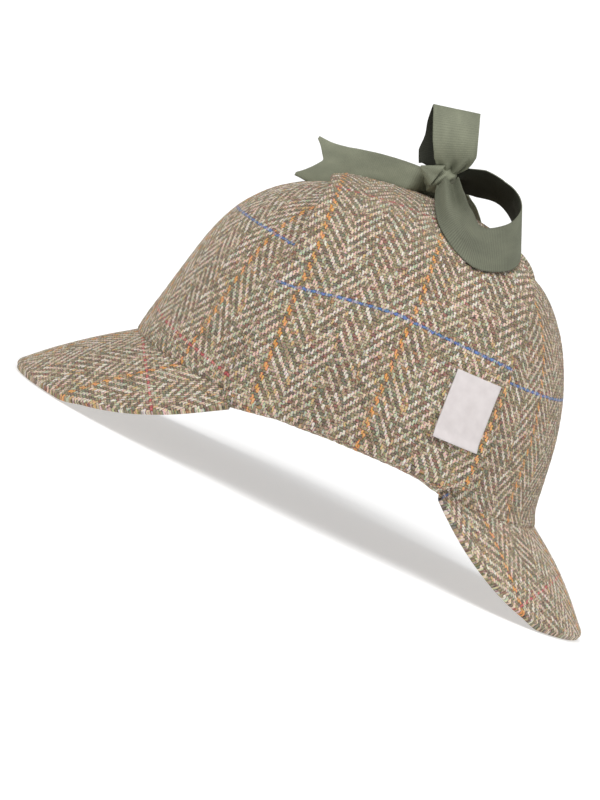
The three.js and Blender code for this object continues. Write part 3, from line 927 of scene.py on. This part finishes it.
def knot():
    """The ribbon wrapped once round the bow and gathered."""
    centre, radius, lean = np.array([-6.6, -2, 169.3]), 8.0, 0.55
    theta = np.linspace(0, 2 * np.pi, 129)[:, None]
    phi = np.linspace(0.02, np.pi - 0.02, 65)[None, :]
    middle = np.sin(phi)
    pleat = 0.5 * np.sin(6.5 * phi + 1.6 * np.sin(theta + 0.6)) + 0.3 * np.sin(13 * phi - 2.2 * np.cos(theta))
    r = radius * (0.86 + 0.14 * middle**2) + pleat * middle**0.8
    x = r * np.cos(phi) * 0.98
    y = r * middle * np.sin(theta) * 0.95
    z = r * middle * np.cos(theta)
    cos, sin = math.cos(lean), math.sin(lean)
    outer = centre + stack(x * cos + z * sin, y, z * cos - x * sin)
    inner = centre + (outer - centre) * 0.9
    cloth = np.stack(np.broadcast_arrays(r * phi, radius * theta), axis=-1)
    return solid("bow_knot", outer, inner, cloth, RIBBON, ["ribbon_knot"])


def flare():
    """The edge of the wrap that stands off the knot like a small wing."""
    tip = np.array([-18.2, -6.5, 170.6])
    upper, lower = np.array([-7.0, -9.2, 176.2]), np.array([-9.5, -9.8, 164.0])
    out = np.linspace(0.08, 1, 26)[:, None, None]
    over = np.linspace(0, 1, 15)[None, :, None]
    grid = tip + out * (upper + (lower - upper) * over - tip)
    bulge = 1.5 * np.sin(np.pi * over) * np.sin(np.pi * out * 0.8) + 0.5 * np.sin(3 * np.pi * over) * out
    grid = grid + bulge * [0, -1, 0.2]
    half = normals(grid) * (RIBBON_THICK / 2)
    wide, long = 12, 11
    cloth = np.stack(np.broadcast_arrays(over[..., 0] * wide, out[..., 0] * long), axis=-1)
    return solid("bow_flare", grid + half, grid - half, cloth, RIBBON, ["ribbon_knot"])


# ---- label ----
LABEL_FRONT, LABEL_BACK, LABEL_LOW, LABEL_HIGH = 38.6, 59.4, 65.2, 96.8  # X and Z on the crown beneath it
LABEL_SLANT = 1.3  # how far its ends lie to the back at the bottom and to the front at the top
LABEL_THICK = 0.5
LABEL_CLEAR = 0.75  # from the flap to the middle of the label
LABEL_CURL = 1.1  # how far its lower edge lifts off the flap


def label():
    """A blank label laid on the left flap."""
    rows, across = 50, 40
    share = np.linspace(0, 1, rows)
    base = np.zeros((rows, across, 3))
    for k, way in enumerate(share):
        z = LABEL_LOW + (LABEL_HIGH - LABEL_LOW) * way
        points = profile(np.linspace(LABEL_FRONT, LABEL_BACK, across) + LABEL_SLANT * (1 - 2 * way))
        for i in range(across):
            base[k, i] = [np.interp(z, points[:, i, 2], points[:, i, axis]) for axis in range(3)]
    away = normals(base)
    out = LOOSE + FLAP_THICK + LABEL_CLEAR + 0.25 * waves(base, 12.0, 31)
    out += LABEL_CURL * smooth(0.85, 1, 1 - share)[:, None]
    top = base + away * (out + LABEL_THICK / 2)[..., None]
    bottom = base + away * (out - LABEL_THICK / 2)[..., None]
    u, v = arc(base, 1), arc(base, 0)
    made = solid("blank_label", top, bottom, np.stack((u, v), axis=-1), LABEL, ["woven_label"])
    return made


# ---- the view, in metres ----
CAMERA_ABOVE, CAMERA_TURNED = math.radians(5.5), math.radians(26.0)
CAMERA_TARGET = Vector((-0.0202, 0, 0.045))
PICTURE_TALL = 0.381  # what the picture's height takes in at the hat
FLOOR_REACH = 30.0


def camera():
    """Level with the hat's side and a little above it, and turned as the hat is tipped."""
    forward = Vector((0, math.cos(CAMERA_ABOVE), -math.sin(CAMERA_ABOVE)))
    level, upright = Vector((1, 0, 0)), Vector((0, math.sin(CAMERA_ABOVE), math.cos(CAMERA_ABOVE)))
    right = level * math.cos(CAMERA_TURNED) + upright * math.sin(CAMERA_TURNED)
    up = upright * math.cos(CAMERA_TURNED) - level * math.sin(CAMERA_TURNED)
    lens = bpy.data.cameras.new("camera")
    lens.lens, lens.sensor_width = 300, 36
    eye = bpy.data.objects.new("camera", lens)
    place = CAMERA_TARGET - forward * (PICTURE_TALL * lens.lens / lens.sensor_width)
    turn = Matrix((right, up, -forward)).transposed().to_4x4()
    eye.matrix_world = Matrix.Translation(place) @ turn
    bpy.context.scene.collection.objects.link(eye)
    bpy.context.scene.camera = eye


def sun(name, towards, energy, size):
    """A soft sun in this direction, this many degrees wide."""
    lamp = bpy.data.lights.new(name, "SUN")
    lamp.energy, lamp.angle = energy, math.radians(size)
    holder = bpy.data.objects.new(name, lamp)
    holder.rotation_mode = "QUATERNION"
    holder.rotation_quaternion = Vector(towards).to_track_quat("Z", "Y")
    bpy.context.scene.collection.objects.link(holder)


def studio():
    """A white floor under a white sky, and soft lamps."""
    world = bpy.data.worlds.new("sky")
    bpy.context.scene.world = world
    world.use_nodes = True
    tree = world.node_tree
    white, soft = tree.nodes["Background"], tree.nodes.new("ShaderNodeBackground")
    white.inputs["Color"].default_value = soft.inputs["Color"].default_value = (1, 1, 1, 1)
    white.inputs["Strength"].default_value, soft.inputs["Strength"].default_value = 1.0, 0.22
    seen, share = tree.nodes.new("ShaderNodeLightPath"), tree.nodes.new("ShaderNodeMixShader")
    tree.links.new(seen.outputs["Is Camera Ray"], share.inputs[0])
    tree.links.new(soft.outputs[0], share.inputs[1])
    tree.links.new(white.outputs[0], share.inputs[2])
    tree.links.new(share.outputs[0], tree.nodes["World Output"].inputs["Surface"])
    sun("key", (-0.38, -0.72, 1.25), 2.25, 40)
    sun("fill", (0.85, -0.3, 0.75), 1.18, 55)
    mesh = bpy.data.meshes.new("floor")
    corners = ((-1, -1), (1, -1), (1, 1), (-1, 1))
    mesh.from_pydata([(FLOOR_REACH * x, FLOOR_REACH * y, 0) for x, y in corners], [], [(0, 1, 2, 3)])
    floor = bpy.data.objects.new("floor", mesh)
    bpy.context.scene.collection.objects.link(floor)
    s = Shader("floor", Roughness=0.9, Base_Color=(0.6, 0.6, 0.6, 1), Emission_Strength=0.5)
    s.surface.inputs["Emission Color"].default_value = (1, 1, 1, 1)
    mesh.materials.append(s.material)
    bpy.context.scene.view_settings.view_transform = "Standard"


camera()
studio()
for number in range(GORES):
    gore(number)
for side, name in ((-1, "left"), (1, "right")):
    flap = earflap(side, f"tweed_earflap_{name}", f"earflap_{name}")
peak("tweed_front_peak", "front_peak", warp=60, weft=60.5, **FRONT_PEAK)
peak("tweed_rear_peak", "rear_peak", warp=60, weft=90.5, **REAR_PEAK)
# The loops' inner faces get the far darker copy, painted shade.
ribbon("bow_loop_upright", "ribbon_loop_upright", LOOP_UPRIGHT, 2.5, 0, RIBBON, RIBBON_PAINTED_SHADE_INSIDE)
ribbon("bow_loop_drooping", "ribbon_loop_drooping", LOOP_DROOPING, 1.5, 1, RIBBON_SHADED, RIBBON_PAINTED_SHADE_INSIDE)
ribbon("bow_tail_front", "ribbon_tail_front", TAIL_FRONT, 1.5, 2, notch=FISHTAIL, stands=(0.64, 1.0))
ribbon("bow_tail_back", "ribbon_tail_back", TAIL_BACK, 1.5, 3, notch=FISHTAIL)
knot()
flare()
label()
